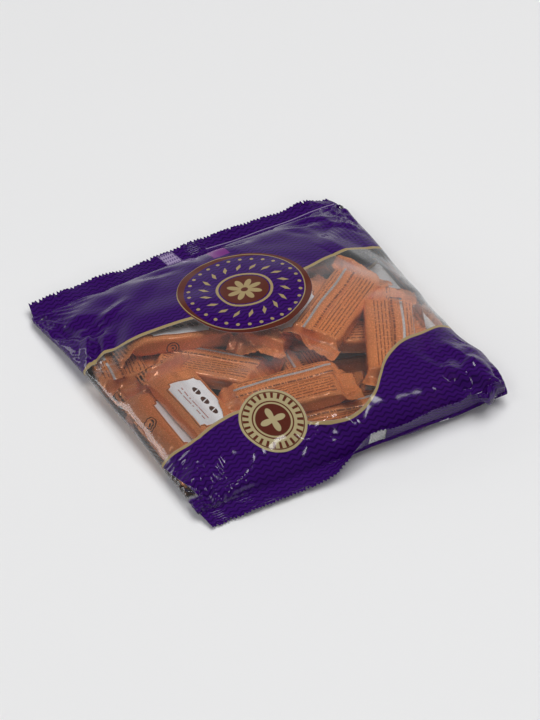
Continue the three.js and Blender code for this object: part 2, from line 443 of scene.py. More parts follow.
sharpFolds = [  # the sharper creases, pressed in last: start, end, depth and width
    ((-95.6, 72.6), (-88.6, 57.6), 2.4, 4),
    ((-88.6, 57.6), (-78.6, 54.6), 1.8, 3.5),
    ((-78.6, 58.6), (-56.6, 64.6), -1.2, 3.5),
    ((-79.6, 53.6), (-93.6, 28.6), 2.4, 3.5),
    ((-84.6, 55.6), (-96.6, 33.6), -1.5, 3.5),
    ((-82.6, -78.4), (-84.6, -88.4), 2.4, 3.5),
    ((-82.6, -81.4), (-55.6, -84.4), -1.4, 4),
    ((-14, -76), (4, -84), 1.5, 4),
    ((-22, -82), (-4, -74), -1.0, 4),
    ((93.4, -64.4), (81.4, -72.4), 2.2, 4.5),
    ((85, -58), (93, -77), -1.7, 4.5),
    ((74, -83), (91, -85), 1.7, 3.5),
    ((66, -71), (81, -64), 1.3, 4),
    ((52, 79), (81, 71), 1.3, 4),
    ((81, 71), (94, 56), -1.3, 4),
    ((70, 85), (86, 77), 1.1, 3),
    ((-40, 80), (-18, 74), 1.0, 4),
    ((8, 84), (34, 76), 1.0, 4),
]
crushed = [  # places that are crumpled most, pressed in last too: place, reach and height
    ((90, -74), 20, 2.3),
    ((-88, -82), 12, 1.0),
    ((-90, 64), 16, 1.4),
    ((88, 78), 14, 1.1),
]
pressing = {"plainRows": 4, "deeper": 1.4, "wider": 1, "cell": (9, 7), "seed": 20}


def settledFilm():
    form = restingTube(1)
    moved = settleFilm(form, form, 1, film["rounds"]) - form
    form = restingTube(2)
    points = settleFilm(form, form + twiceAsFine(moved), 2, film["fineRounds"])
    front = points[pressing["plainRows"]:-pressing["plainRows"], :2 * film["columns"] + 1]
    x, y = front[..., 0].copy(), front[..., 1].copy()
    for start, end, depth, width in sharpFolds:
        crease = tentAt(x, y, start, end, width + pressing["wider"])
        front[..., 2] -= pressing["deeper"] * depth * crease
    for index, (place, reach, height) in enumerate(crushed):
        amount = height * np.exp(-(((x - place[0]) ** 2 + (y - place[1]) ** 2) / reach**2))
        front[..., 2] += amount * facetsAt(x, y, pressing["cell"], index + pressing["seed"])
    points[..., 2] = np.maximum(points[..., 2], film["floorGap"])
    return points


def makeFilm(points):
    rows, columns = points.shape[:2]
    nx = columns // 2
    half = film["flatWidth"] / 2
    stepX = film["flatWidth"] / nx
    b = np.linspace(-film["flatLength"] / 2, film["flatLength"] / 2, rows)
    faces, uv = [], []
    for j in range(rows - 1):
        for i in range(columns):
            k = (i + 1) % columns
            faces.append((j * columns + i, j * columns + k, (j + 1) * columns + k, (j + 1) * columns + i))
            web = -half + stepX * i  # the print's own coordinate, from -flatWidth to flatWidth
            if i >= nx + nx // 2:
                web -= 2 * film["flatWidth"]
            uv += [(web, b[j]), (web + stepX, b[j]), (web + stepX, b[j + 1]), (web, b[j + 1])]
    return addMesh("film", points.reshape(-1, 3) + np.array(bagForm["offset"]), faces, uv)


sealFin = {
    "width": 11,
    "overlap": 1.2,  # how far it reaches in over the film
    "drop": 0.1,
    "thickness": 0.35,
    "teeth": 88,
    "toothDepth": 1.3,
    "toothRange": (0.3, 1.5),  # shares of that depth
    "torn": 5,
    "tornDepth": 2.4,
    "toothFrom": 0.8,  # share of the width
    "ribs": 9,
    "ribHeight": 0.11,
    "crimped": (0.1, 0.16, 0.93, 0.97),  # where the ribs start and end, as shares of the width
    "taper": 2.5,
    "waves": 7,
    "waveAngle": 1.2,
    "waveRun": (3, 12),
    "seamEdge": 0.6,
    "seamRibs": 0.8,  # how much deeper the ribs are over the back seam
    "seamRise": 0.25,
    "crushReach": 16,
    "crushCell": (7, 9),
    "crushRun": 12,
}
farFin = {"crushed": 12, "crushX": 92, "angle": 7, "ripple": 5, "rippleRun": 21}
nearFin = {
    "crushed": 46,
    "crushX": 90,
    "leftAngle": -11,
    "rightAngle": 80,
    "ripple": 3,
    "rippleRun": 9,
    "twistAt": -6,
    "twistWidth": 60,
}


def farAngle(x):
    return farFin["angle"] + farFin["ripple"] * np.sin(x / farFin["rippleRun"])


def nearAngle(x):
    half = nearFin["twistWidth"] / 2
    turned = smoothstep(x, nearFin["twistAt"] - half, nearFin["twistAt"] + half)
    ripple = nearFin["ripple"] * np.sin(x / nearFin["rippleRun"])
    return lerp(nearFin["leftAngle"], nearFin["rightAngle"], turned) + ripple


def seamAt(along):
    # the back seam's own middle, from the near seal to the far one
    return lerp(backSeam["nearX"], backSeam["farX"], along)


def makeSeal(name, along, angleAt, seed):
    f = sealFin
    rng = np.random.default_rng(seed)
    outwards = 1 if along > 0.5 else -1
    columns = 4 * f["teeth"]
    rows = 4 * f["ribs"]
    i = np.arange(columns + 1)
    across = 2 * i / columns - 1
    x, y = planAt(across, np.full(columns + 1, float(along)))
    z = sideHeightAt(across, np.full(columns + 1, float(along))) + wanderAt(x, outwards) - f["drop"]
    ripple = np.zeros_like(x)
    for _ in range(f["waves"]):
        ripple += rng.normal(0, f["waveAngle"]) * np.sin(x / rng.uniform(*f["waveRun"]) + rng.uniform(0, 6))
    halfSeam = backSeam["width"] / 2
    fromSeam = np.abs(x - seamAt(along))
    overSeam = 1 - smoothstep(fromSeam, halfSeam - f["seamEdge"], halfSeam + f["seamEdge"])
    depth = rng.uniform(*f["toothRange"], f["teeth"] + 1)
    depth[rng.integers(0, f["teeth"], f["torn"])] = f["tornDepth"]
    tooth = 1 - (1 - np.abs((i % 4) - 2) / 2) * depth[i // 4]  # 1 at a tip
    length = f["width"] + f["overlap"]
    fin = farFin if outwards > 0 else nearFin
    crush = fin["crushed"] * np.exp(-(((x - fin["crushX"]) / f["crushReach"]) ** 2))
    ribsFrom, ribsFull, ribsTo, ribsEnd = f["crimped"]
    front, back = [], []
    for j in range(rows + 1):
        share = j / rows
        crumple = facetsAt(x, f["crushRun"] * share + 0 * x, f["crushCell"], seed)
        bent = crush * smoothstep(share, 0, 0.5) * crumple
        angle = np.radians(angleAt(x) + ripple * share + bent)
        outward = np.stack([0 * x, outwards * np.cos(angle), np.sin(angle)], -1)
        normal = np.stack([0 * x, -outwards * np.sin(angle), np.cos(angle)], -1)
        reach = length * share - f["toothDepth"] * (1 - tooth) * smoothstep(share, f["toothFrom"], 1)
        crimped = smoothstep(share, ribsFrom, ribsFull) * (1 - smoothstep(share, ribsTo, ribsEnd))
        rib = f["ribHeight"] * (1 + f["seamRibs"] * overSeam) * crimped * math.sin(math.pi * j / 2)
        root = np.stack([x - across * f["taper"] * share, y - outwards * f["overlap"], z], -1)
        middle = root + outward * reach[:, None] + normal * (rib + f["seamRise"] * overSeam)[:, None]
        thick = normal * f["thickness"] / 2
        front.append(middle + thick)
        back.append(middle - thick)
    if outwards < 0:
        front.reverse()
        back.reverse()
    points = np.array(front + back).reshape(-1, 3) + np.array(bagForm["offset"])
    n = columns + 1
    base = (rows + 1) * n
    webX = across * film["flatWidth"] / 2
    start = film["flatLength"] / 2 - f["overlap"]
    webY = start + length * np.arange(rows + 1) / rows
    webY = webY if outwards > 0 else -webY[::-1]
    backX = np.where(webX > 0, film["flatWidth"] - webX, -film["flatWidth"] - webX)
    faces, uv = [], []

    def quad(corners, isBack):
        faces.append(tuple((base if isBack else 0) + j * n + k for j, k in corners))
        side = backX if isBack else webX
        uv.extend((side[k], webY[j]) for j, k in corners)

    for j in range(rows):
        for k in range(columns):
            quad([(j, k), (j, k + 1), (j + 1, k + 1), (j + 1, k)], False)
            quad([(j, k), (j + 1, k), (j + 1, k + 1), (j, k + 1)], True)
    rim = [(0, k) for k in range(columns + 1)] + [(j, columns) for j in range(1, rows + 1)]
    rim += [(rows, k) for k in range(columns - 1, -1, -1)] + [(j, 0) for j in range(rows - 1, 0, -1)]
    for index, (j, k) in enumerate(rim):
        nextJ, nextK = rim[(index + 1) % len(rim)]
        a, b = j * n + k, nextJ * n + nextK
        faces.append((a, base + a, base + b, b))
        uv += [(webX[k], webY[j])] * 2 + [(webX[nextK], webY[nextJ])] * 2
    return addMesh(name, points, faces, uv)


backSeam = {
    "width": 12,
    "farX": 6,
    "nearX": 16,
    "rows": 60,
    "halfLength": 84,
    "wander": 0.5,
    "printX": 190,  # where its print lies on the film
    "printWidth": 10,
    "printY": 88,
}


def makeBackSeam():
    # the lengthwise lap under the bag
    f = backSeam
    rows = f["rows"]
    half = f["width"] / 2
    points, faces, uv = [], [], []
    under = [(-half, 0.62), (-half + 0.4, 0.14), (half - 0.4, 0.02)]
    profile = under + [(half, 0.3), (half - 0.4, 0.5), (0, 0.66)]
    n = len(profile)
    for j in range(rows + 1):
        share = j / rows
        y = lerp(-f["halfLength"], f["halfLength"], share)
        x = seamAt(share) + f["wander"] * math.sin(share * 9)
        points += [(x + dx, y, z) for dx, z in profile]
    for j in range(rows):
        for k in range(n):
            a, b = j * n + k, j * n + (k + 1) % n
            faces.append((a, a + n, b + n, b))
            web = f["printX"] + f["printWidth"] * k / n
            low, high = (lerp(-f["printY"], f["printY"], row / rows) for row in (j, j + 1))
            uv += [(web, low), (web, high), (web + 1, high), (web + 1, low)]
    printMiddle = f["printX"] + f["printWidth"] / 2
    faces.append(tuple(range(n)))
    uv += [(printMiddle, -f["printY"])] * n
    faces.append(tuple(rows * n + k for k in reversed(range(n))))
    uv += [(printMiddle, f["printY"])] * n
    offset = np.array(bagForm["offset"]) * [1, 1, 0]
    return addMesh("film.back-seam", np.array(points) + offset, faces, uv)


class Field:
    # a number that varies over a surface, written as sums and built as Math nodes
    def __init__(self, tree, socket):
        self.tree = tree
        self.socket = socket

    def op(self, name, *others, clamp=False):
        node = self.tree.nodes.new("ShaderNodeMath")
        node.operation = name
        node.use_clamp = clamp
        for index, value in enumerate((self, *others)):
            if isinstance(value, Field):
                self.tree.links.new(value.socket, node.inputs[index])
            else:
                node.inputs[index].default_value = value
        return Field(self.tree, node.outputs[0])

    def __add__(self, other):
        return self.op("ADD", other)

    def __sub__(self, other):
        return self.op("SUBTRACT", other)

    def __mul__(self, other):
        return self.op("MULTIPLY", other)

    def __truediv__(self, other):
        return self.op("DIVIDE", other)

    def __or__(self, other):
        return self.op("MAXIMUM", other)

    def __and__(self, other):
        return self.op("MINIMUM", other)

    def size(self):
        return self.op("ABSOLUTE")

    def hypot(self, other):
        return (self * self + other * other).op("SQRT")

    def below(self, limit, soft=0.15):
        # 1 where the field is under the limit, 0 over it, with an edge of twice soft
        gap = self - limit
        return gap.op("MULTIPLY_ADD", -0.5 / soft, 0.5, clamp=True)

    def above(self, limit, soft=0.15):
        gap = self - limit
        return gap.op("MULTIPLY_ADD", 0.5 / soft, 0.5, clamp=True)

    def near(self, limit, halfWidth, soft=0.15):
        return (self - limit).size().below(halfWidth, soft)

    def wave(self, period):
        return (self * (2 * math.pi / period)).op("SINE")


def newGroup(name, outputs):
    tree = bpy.data.node_groups.new(name, "ShaderNodeTree")
    for label, kind in outputs:
        tree.interface.new_socket(name=label, in_out="OUTPUT", socket_type=kind)
    return tree, tree.nodes.new("NodeGroupOutput")


def uvFields(tree):
    uvNode = tree.nodes.new("ShaderNodeUVMap")
    uvNode.uv_map = "flat"
    parts = tree.nodes.new("ShaderNodeSeparateXYZ")
    tree.links.new(uvNode.outputs[0], parts.inputs[0])
    return [Field(tree, parts.outputs[axis]) * float(printUnit) for axis in (0, 1)]


def layColour(tree, under, colour, mask):
    node = tree.nodes.new("ShaderNodeMix")
    node.data_type = "RGBA"
    tree.links.new(mask.socket, node.inputs[0])
    if isinstance(under, tuple):
        node.inputs[6].default_value = (*under, 1)
    else:
        tree.links.new(under, node.inputs[6])
    node.inputs[7].default_value = (*colour, 1)
    return node.outputs[2]


def curveField(field, points, reach):
    # a smooth curve through (place, value) points, as a Float Curve between -reach and reach
    low, high = -reach, reach
    node = field.tree.nodes.new("ShaderNodeFloatCurve")
    curve = node.mapping.curves[0]
    first, last = points[0][0], points[-1][0]
    while len(curve.points) > 2:
        curve.points.remove(curve.points[-1])
    for index, (place, value) in enumerate(points):
        spot = ((place - first) / (last - first), (value - low) / (high - low))
        if index < 2:
            curve.points[index].location = spot
        else:
            curve.points.new(*spot)
    node.mapping.update()
    scaled = (field - float(first)) / float(last - first)
    field.tree.links.new(scaled.socket, node.inputs[1])
    return Field(field.tree, node.outputs[0]) * float(high - low) + float(low)


bagInk = {
    "purple": (0.040, 0.0052, 0.128),
    "wave": (0.020, 0.0024, 0.066),
    "gold": (0.36, 0.27, 0.13),
    "brown": (0.10, 0.022, 0.014),
    "badge": (0.42, 0.35, 0.19),
    # painted highlight and sheen colour, for a line and ribs by the far seal
    "paintedSheen": (0.36, 0.28, 0.46),
    "magenta": (0.17, 0.018, 0.20),
}
# where the printed ends stop, across the bag and on round it
farEdge = [
    (-205, 34), (-140, 33), (-98, 33), (-84, 35), (-70, 31), (-40, 26), (0, 20), (45, 33),
    (60, 37), (90, 40), (140, 40), (205, 36),
]
nearEdge = [
    (-205, -52), (-98, -52), (-80, -54), (-60, -51.5), (-42, -52), (-17, -72.5), (0, -77), (10, -76.5),
    (24, -71), (35, -61), (42, -54), (50, -49), (60, -44.5), (75, -41), (92, -38), (205, -40),
]
edging = {"reach": 100, "far": 1.1, "near": 0.9}
ground = {"run": 5.6, "height": 0.62, "gap": 2.75, "width": 0.45}  # the wavy lines
medallion = {
    "x": 3.5,
    "y": 32.5,
    "radius": 37.5,
    "crescent": (1.3, 1.7),  # how far the inner discs stand off the middle
    "crescentWidth": 2,
    "rim": 0.28,
    "dots": {"count": 30, "ring": 31, "radius": 1.05},
    "leaves": {"count": 18, "ring": 22.5, "lean": 0.45, "narrow": 1.9, "short": 0.8, "size": 2.5},
    "ring": (15.2, 0.75),
    "centre": 13.6,
    "rosette": {"petals": 8, "length": 6.5, "root": 3.6, "eye": 2.0},
}
badge = {
    "x": -34.5,
    "y": -63.5,
    "radius": 18.5,
    "bars": {"count": 26, "ring": 14.8, "width": 0.75, "length": 1.7},
    "outerRing": (1.7, 0.32),  # distance from the rim, and half width
    "innerRing": (11, 0.4),
    "centre": 9.6,
    "star": {"points": 4, "length": 5.2, "root": 2.2},
}
sheenAndInkMarks = {  # a painted highlight line along the root of the far seal's crimp, painted sheen on ribs by the far seal, and a patch of brighter ink
    "line": {"y": 96.3, "halfWidth": 0.2, "fromX": 12},
    "ribbed": {"x": 19.5, "y": 92.0, "slant": 0.3, "halfWidth": 4.5, "halfLength": 12.0},
    "bright": {"x": 10.5, "y": 77.0, "halfWidth": 5, "halfLength": 5.5},
}
bareFilm = {  # clear film along the lengthwise seam, and beside the fold of the near left corner
    "seam": {"halfWidth": 5.5, "length": 190, "fromX": 120},
    "corner": {"slant": 0.24, "left": -114.5, "right": -106, "far": -53, "near": -82},
}


def polar(a, b, centre):
    # distance from a centre, and angle around it
    da, db = a - float(centre["x"]), b - float(centre["y"])
    return da.hypot(db), db.op("ARCTAN2", da)


def repeatRound(radius, angle, count, ring):
    # place within one of count equal sectors: along the ring and away from it
    turns = (angle * (count / (2 * math.pi))).op("FRACT") - 0.5
    return turns * (2 * math.pi * ring / count), radius - float(ring)


def shiftedRadius(a, b, centre, dx, dy):
    return polar(a, b, {"x": centre["x"] + dx, "y": centre["y"] + dy})[0]


def layMedallion(tree, colour, a, b):
    # crescents, a ring of dots, a wreath of leaves and a rosette
    m = medallion
    radius, angle = polar(a, b, m)
    size = float(m["radius"])
    disc = radius.below(size)
    shiftX, shiftY = m["crescent"]
    inner = size - m["crescentWidth"]
    lower = shiftedRadius(a, b, m, -shiftX, shiftY)
    upper = shiftedRadius(a, b, m, shiftX, -shiftY)
    colour = layColour(tree, colour, bagInk["brown"], (lower.above(inner) | upper.above(inner)) & disc)
    rim = lower.near(inner, m["rim"])
    dotsAlong, dotsOut = repeatRound(radius, angle, m["dots"]["count"], m["dots"]["ring"])
    dots = dotsAlong.hypot(dotsOut).below(m["dots"]["radius"])
    leaf = m["leaves"]
    leafAlong, leafOut = repeatRound(radius, angle, leaf["count"], leaf["ring"])
    leaves = (leafAlong + leafOut * leaf["lean"]).size() * leaf["narrow"] + leafOut.size() * leaf["short"]
    gold = (rim & disc) | dots | leaves.below(leaf["size"], 0.3) | radius.near(*m["ring"])
    colour = layColour(tree, colour, bagInk["gold"], gold)
    colour = layColour(tree, colour, bagInk["brown"], radius.below(m["centre"]))
    rosette = m["rosette"]
    petal = (angle * (rosette["petals"] / 2)).op("COSINE").op("ABSOLUTE")
    petals = (radius - petal * rosette["length"]).below(rosette["root"], 0.2) & radius.above(rosette["eye"])
    return layColour(tree, colour, bagInk["gold"], petals)


def layBadge(tree, colour, a, b):
    # rings, small bars all round and a four-pointed star
    radius, angle = polar(a, b, badge)
    size = float(badge["radius"])
    disc = radius.below(size)
    colour = layColour(tree, colour, bagInk["badge"], disc)
    bar = badge["bars"]
    barsAlong, barsOut = repeatRound(radius, angle, bar["count"], bar["ring"])
    bars = barsAlong.size().below(bar["width"]) & barsOut.size().below(bar["length"])
    inwards, halfWidth = badge["outerRing"]
    rings = radius.near(size - inwards, halfWidth) | radius.near(*badge["innerRing"])
    colour = layColour(tree, colour, bagInk["brown"], rings | bars | radius.below(badge["centre"]))
    star = badge["star"]
    point = (angle * (star["points"] / 2)).op("COSINE").op("ABSOLUTE")
    rays = (radius - point * point * star["length"]).below(star["root"], 0.2)
    return layColour(tree, colour, bagInk["badge"], rays), disc


def layMarks(tree, colour, a, b):
    line, ribbed, bright = (sheenAndInkMarks[name] for name in ("line", "ribbed", "bright"))
    front = a.size().below(100)
    # painted highlight: a thin pale line along the root of the far seal's crimp
    highlightLine = b.near(line["y"], line["halfWidth"]) & a.above(line["fromX"]) & front
    # painted sheen: pale ribs on a slanted patch by the far seal
    ribs = (a.wave(1.5) | b.wave(2.6)).above(-0.2, 0.5)
    across = (a + b * ribbed["slant"] - ribbed["x"]).size().below(ribbed["halfWidth"], 0.6)
    along = (b - ribbed["y"]).size().below(ribbed["halfLength"], 1.0)
    colour = layColour(tree, colour, bagInk["paintedSheen"], (across & along & ribs) | highlightLine)
    across = (a - bright["x"]).size().below(bright["halfWidth"])
    along = (b - bright["y"]).size().below(bright["halfLength"])
    beyondDisc = polar(a, b, medallion)[0].above(float(medallion["radius"]))
    return layColour(tree, colour, bagInk["magenta"], across & along & beyondDisc)


def bareMask(a, b):
    seam, corner = bareFilm["seam"], bareFilm["corner"]
    backX = (a.size() * -1.0 + float(film["flatWidth"])) * a.op("SIGN")
    slope = (backSeam["farX"] - backSeam["nearX"]) / seam["length"]
    seamX = b * slope + (backSeam["farX"] + backSeam["nearX"]) / 2
    seamGap = (backX - seamX).size().below(seam["halfWidth"]) & a.size().above(seam["fromX"])
    acrossCorner = (a + b * corner["slant"]).below(corner["left"]) & a.above(corner["right"])
    return seamGap | (acrossCorner & b.below(corner["far"]) & b.above(corner["near"], 1.5))


def makeBagPrint():
    tree, sink = newGroup("bagPrint", [("Colour", "NodeSocketColor"), ("Ink", "NodeSocketFloat")])
    a, b = uvFields(tree)
    farGap = b - curveField(a, farEdge, edging["reach"])
    nearGap = curveField(a, nearEdge, edging["reach"]) - b
    radius = polar(a, b, medallion)[0]
    size = float(medallion["radius"])
    field = farGap.above(0.0) | nearGap.above(0.0) | radius.below(size)
    lines = (b + a.wave(ground["run"]) * ground["height"]).wave(ground["gap"]).above(ground["width"], 0.35)
    colour = layColour(tree, bagInk["purple"], bagInk["wave"], lines)
    gilt = (farGap.near(0.0, edging["far"]) & radius.above(size)) | nearGap.near(0.0, edging["near"])
    colour = layColour(tree, colour, bagInk["gold"], gilt)
    colour = layMedallion(tree, colour, a, b)
    colour, badgeDisc = layBadge(tree, colour, a, b)
    colour = layMarks(tree, colour, a, b)
    ink = (field | gilt | badgeDisc) & (bareMask(a, b) * -1.0 + 1.0)
    tree.links.new(colour, sink.inputs[0])
    tree.links.new(ink.socket, sink.inputs[1])
    return tree


filmLook = {
    "gloss": 0.09,
    "clear": 0.03,  # how milky the bare film is face on
    "edgeHaze": 0.7,  # and how much more of that it has edge on
    "hazePower": 3.0,
    "haze": (0.8, 0.8, 0.82),
    "doubled": 0.6,  # bare film shines on both of its sides
    "solid": 0.985,
    "inkRoughness": 0.5,
    "index": 1.5,
}


def makeFilmMaterial(printTree):
    material = bpy.data.materials.new("film")
    material.use_nodes = True
    tree = material.node_tree
    tree.nodes.clear()
    link = tree.links.new
    inks = tree.nodes.new("ShaderNodeGroup")
    inks.node_tree = printTree
    ink = Field(tree, inks.outputs["Ink"])
    colour = tree.nodes.new("ShaderNodeMix")
    colour.data_type = "RGBA"
    link(ink.socket, colour.inputs[0])
    colour.inputs[6].default_value = (*filmLook["haze"], 1)
    link(inks.outputs["Colour"], colour.inputs[7])
    body = tree.nodes.new("ShaderNodeBsdfPrincipled")
    link(colour.outputs[2], body.inputs["Base Color"])
    body.inputs["Roughness"].default_value = filmLook["inkRoughness"]
    body.inputs["Specular IOR Level"].default_value = 0
    clear = tree.nodes.new("ShaderNodeBsdfTransparent")
    through = tree.nodes.new("ShaderNodeMixShader")
    edgeOn = tree.nodes.new("ShaderNodeLayerWeight")
    edgeOn.inputs["Blend"].default_value = 0.5
    facing = Field(tree, edgeOn.outputs["Facing"]).op("POWER", filmLook["hazePower"])
    hazy = facing * filmLook["edgeHaze"] + filmLook["clear"]
    opaque = (ink * filmLook["solid"]) | hazy
    link(opaque.socket, through.inputs[0])
    link(clear.outputs[0], through.inputs[1])
    link(body.outputs[0], through.inputs[2])
    gloss = tree.nodes.new("ShaderNodeBsdfAnisotropic")
    gloss.inputs["Roughness"].default_value = filmLook["gloss"]
    fresnel = tree.nodes.new("ShaderNodeFresnel")
    fresnel.inputs["IOR"].default_value = filmLook["index"]
    shine = tree.nodes.new("ShaderNodeMixShader")
    shining = Field(tree, fresnel.outputs[0]) * (ink * -filmLook["doubled"] + (1.0 + filmLook["doubled"]))
    link(shining.socket, shine.inputs[0])
    link(through.outputs[0], shine.inputs[1])
    link(gloss.outputs[0], shine.inputs[2])
    out = tree.nodes.new("ShaderNodeOutputMaterial")
    link(shine.outputs[0], out.inputs[0])
    return material


sweet = {
    "length": 80,
    "bodyLength": 56,
    "width": 28.5,
    "height": 12,
    "squareness": 5,
    "finLength": 8.5,
    "finWidth": 36,
    "finHalfHeight": 0.2,
    "teeth": 19,
    "toothDepth": 0.8,
    "ribHeight": 0.09,
    "ribGap": 1.5,
    "around": 84,  # points round it
    "bodyRows": 40,
    "endRows": 16,
    "endRun": 4,  # how far in from the bar's ends the rows are finer
    "seamWidth": 8,
    "seamRows": 40,
    "curl": 1.0,
    "flutter": 9,
}
wrapperCreases = [  # height on the bar, how much more at its ends, and cell along and around
    (0.34, 1.0, (8, 5)),
    (0.12, 0.4, (3, 2.6)),
]
finWaves = [  # height, and cell across and along
    (2.8, (5, 12)),
    (1.1, (2.2, 5)),
]
sweetPlaces = {
    # x, y, z of the middle, turn of the long side, dip, roll (180 shows the back), bend of both fins, and
    # how far round the wrapper has slipped
    "left": ((-83, -30, 11.5), 272, 0, -14, (34, 10), 8),
    "label-front": ((-61, -29, 15), 93.5, -3, 4, (-10, 38), 0),
    "far-left": ((-42, 31, 12), -15.5, 0, -4, (-10, 8), 0),
    "behind": ((-37, 2, 11), -48, 2, 176, (10, 14), 0),
    "front": ((-14, -46, 20), -10.6, 2, 178, (16, 20), 0),
    "right-back": ((43, -2, 19), 33, -2, 183, (-22, -10), 0),
    "right": ((58, -36, 17), 244, 2, 172, (-12, -14), 3),
    "far-middle": ((17, 13, 15.5), 36, 2, 11, (8, -8), -2),
    "low-front": ((4, -68, 8.5), -14, 0, 184, (6, 6), 0),
    "low-right": ((49, -12, 8), -22, 0, 182, (6, 4), 0),
    "low-far-right": ((36, 57, 7), -6, 0, 184, (4, 4), 0),
    "low-far": ((-31, 60, 7.5), 6, 0, 178, (4, 4), 0),
    "low-far-left": ((-77, 43, 8), 78, 0, 182, (14, 4), 0),
    "low-middle": ((14, -22, 6.8), 80, 0, 186, (4, 4), 0),
}


class Room:
    # the space inside the film: its top and bottom over the plan, and its reach to both sides
    def __init__(self, points, columns):
        self.step = 2.0  # of the square cells that it is kept in
        self.limit = 119  # the last cell each way
        self.reach = 87  # of the sweets towards both seals
        size = self.limit + 1
        self.top = np.full((size, size), np.inf)
        self.bottom = np.full((size, size), -np.inf)
        placed = points + np.array(bagForm["offset"])
        front, back = placed[:, :columns + 1].reshape(-1, 3), placed[:, columns + 1:].reshape(-1, 3)
        np.minimum.at(self.top, self.cell(front[:, 0], front[:, 1]), front[:, 2])
        np.maximum.at(self.bottom, self.cell(back[:, 0], back[:, 1]), back[:, 2])
        for axis in (0, 1):  # as low, or as high, as the film is over the cells beside each one
            self.top = np.minimum.reduce([np.roll(self.top, turn, axis) for turn in (-1, 0, 1)])
            self.bottom = np.maximum.reduce([np.roll(self.bottom, turn, axis) for turn in (-1, 0, 1)])
        self.top[np.isinf(self.top)] = 0
        self.bottom[np.isinf(self.bottom)] = 0
        grid = placed.reshape(-1, 3)
        j = self.cell(grid[:, 0], grid[:, 1])[1]
        self.left = np.full(size, np.inf)
        self.right = np.full(size, -np.inf)
        np.minimum.at(self.left, j, grid[:, 0])
        np.maximum.at(self.right, j, grid[:, 0])

    def cell(self, x, y):
        middle = (self.limit + 1) / 2
        i = np.clip(np.round(x / self.step + middle).astype(int), 0, self.limit)
        return i, np.clip(np.round(y / self.step + middle).astype(int), 0, self.limit)

    def keep(self, points, margin, sideMargin):
        # the points, moved in until each is at least margin from the film above, below and at the ends
        kept = points.copy()
        kept[..., 1] = np.clip(kept[..., 1], -self.reach + margin, self.reach - margin)
        j = self.cell(kept[..., 0], kept[..., 1])[1]
        kept[..., 0] = np.clip(kept[..., 0], self.left[j] + sideMargin, self.right[j] - sideMargin)
        i, j = self.cell(kept[..., 0], kept[..., 1])
        low, high = self.bottom[i, j] + margin, self.top[i, j] - margin
        middle = (low + high) / 2
        kept[..., 2] = np.where(low < high, np.clip(kept[..., 2], low, high), middle)
        return kept


packing = {
    "rounds": 200,
    "balls": 6,  # in a row
    "ballRadius": 6,
    "home": 0.03,  # how firmly each sweet keeps to the place given above
    "push": 0.4,
    "sideGap": 4,
    "skin": 0.8,  # the least gap between a wrapper and the film over it
    "sideSkin": 2.5,
    "neighbour": 0.5,  # how much larger than its bar a sweet counts for its neighbours' fins
    "neighbourHeight": 0.8,
}


def packSweets(room):
    # each bar is three rows of balls; they are pushed off each other and the film, and kept rigid
    radius = packing["ballRadius"]
    xs = np.linspace(-1, 1, packing["balls"]) * (sweet["bodyLength"] / 2 - radius)
    across = sweet["width"] / 2 - radius
    ball = np.array([(x, y, 0) for x in xs for y in (-across, 0, across)])
    homes, turns = [], []
    for place, turn, dip, roll, _, _ in sweetPlaces.values():
        homes.append(place)
        turns.append(Euler((math.radians(roll), math.radians(-dip), math.radians(turn)), "XYZ").to_matrix())
    homes, turns = np.array(homes, float), np.array(turns)
    homeBalls = homes[:, None] + np.einsum("nij,kj->nki", turns, ball)
    balls = homeBalls.copy()
    owner = np.repeat(np.arange(len(homes)), len(ball))
    others = owner[:, None] != owner[None, :]
    for _ in range(packing["rounds"]):
        flat = balls.reshape(-1, 3)
        gap = flat[:, None] - flat[None, :]
        distance = np.linalg.norm(gap, axis=-1) + 1e-6
        overlap = np.where(others, np.maximum(2 * radius - distance, 0), 0)
        flat = flat + packing["push"] * (gap / distance[..., None] * overlap[..., None]).sum(1)
        balls = room.keep(flat, radius, radius + packing["sideGap"]).reshape(balls.shape)
        balls += (homeBalls - balls) * packing["home"]
        centres = balls.mean(1)
        spread = np.einsum("nki,kj->nij", balls - centres[:, None], ball)
        spread += 1e-3 * turns
        u, _, vt = np.linalg.svd(spread)
        flip = np.ones((len(homes), 3))
        flip[:, 2] = np.sign(np.linalg.det(u @ vt))
        turns = np.einsum("nij,nj,njk->nik", u, flip, vt)
        balls = centres[:, None] + np.einsum("nij,kj->nki", turns, ball)
    return balls.mean(1), turns


def sweetStations():
    # the rows' places along a sweet
    flatEnd = sweet["bodyLength"] / 2 - sweet["endRun"]
    neckEnd = sweet["length"] / 2 - sweet["finLength"]
    neck = np.linspace(flatEnd, neckEnd, sweet["endRows"])[:-1]
    end = np.concatenate([neck, np.linspace(neckEnd, sweet["length"] / 2, sweet["endRows"])])
    body = np.linspace(-flatEnd, flatEnd, sweet["bodyRows"])[1:-1]
    return np.concatenate([-end[::-1], body, end])


def evenRound(halfWidth, halfHeight, squareness):
    # points round a boxy section, equally far apart, from the middle of its top
    theta = np.linspace(math.pi / 2, math.pi * 5 / 2, 721)
    c, sn = np.cos(theta), np.sin(theta)
    y = halfWidth * np.sign(c) * np.abs(c) ** (2 / squareness)
    z = halfHeight * np.sign(sn) * np.abs(sn) ** (2 / squareness)
    run = np.concatenate([[0], np.cumsum(np.hypot(np.diff(y), np.diff(z)))])
    even = np.arange(sweet["around"]) / sweet["around"] * run[-1]
    return np.interp(even, run, y), np.interp(even, run, z)


